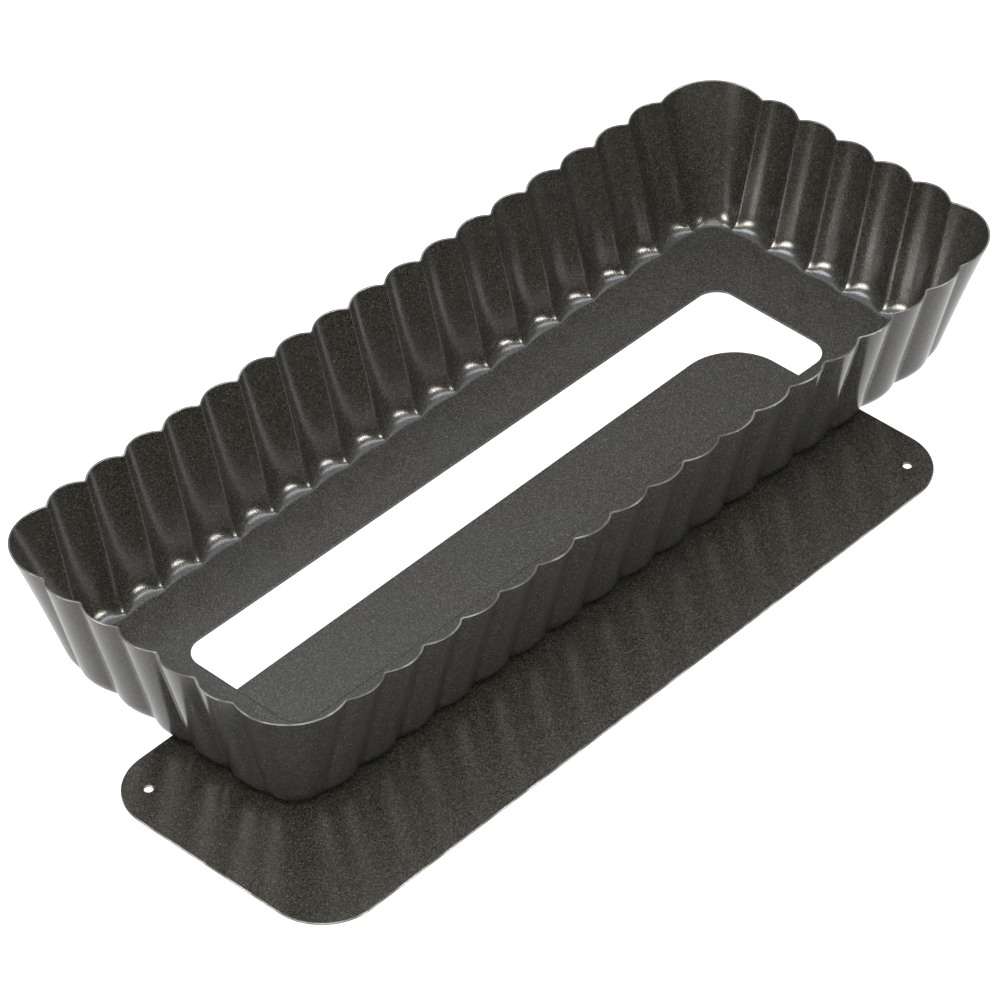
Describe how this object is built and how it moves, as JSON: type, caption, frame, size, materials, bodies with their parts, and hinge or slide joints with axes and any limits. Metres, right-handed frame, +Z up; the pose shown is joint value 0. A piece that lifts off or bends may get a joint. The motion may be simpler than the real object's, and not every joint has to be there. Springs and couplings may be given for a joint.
{
  "type": "loose-based tart pan",
  "caption": "Long rectangular tart pan with a fluted, outward-leaning rim round an open floor and a flat loose base plate.",
  "frame": {"origin": "centre of the loose base's underside, on the surface it lies on", "axes": "+X along the rim's long side, +Y across it, +Z up; the base is turned a little about Z under the rim"},
  "size_m": [0.379, 0.1779, 0.0528],
  "materials": {
    "rim_coating": "satin dark non-stick coating with a fine sparkle",
    "base_coating": "satin dark non-stick coating with a fine sparkle"
  },
  "bodies": {
    "base": {"loose_base": "base_coating"},
    "rim": {"fluted_rim": "rim_coating"}
  },
  "joints": [
    {"name": "rim_lift", "type": "slide", "parent": "base", "child": "rim", "axis": [0, 0, 1], "range_m": [0, 0.12]}
  ]
}
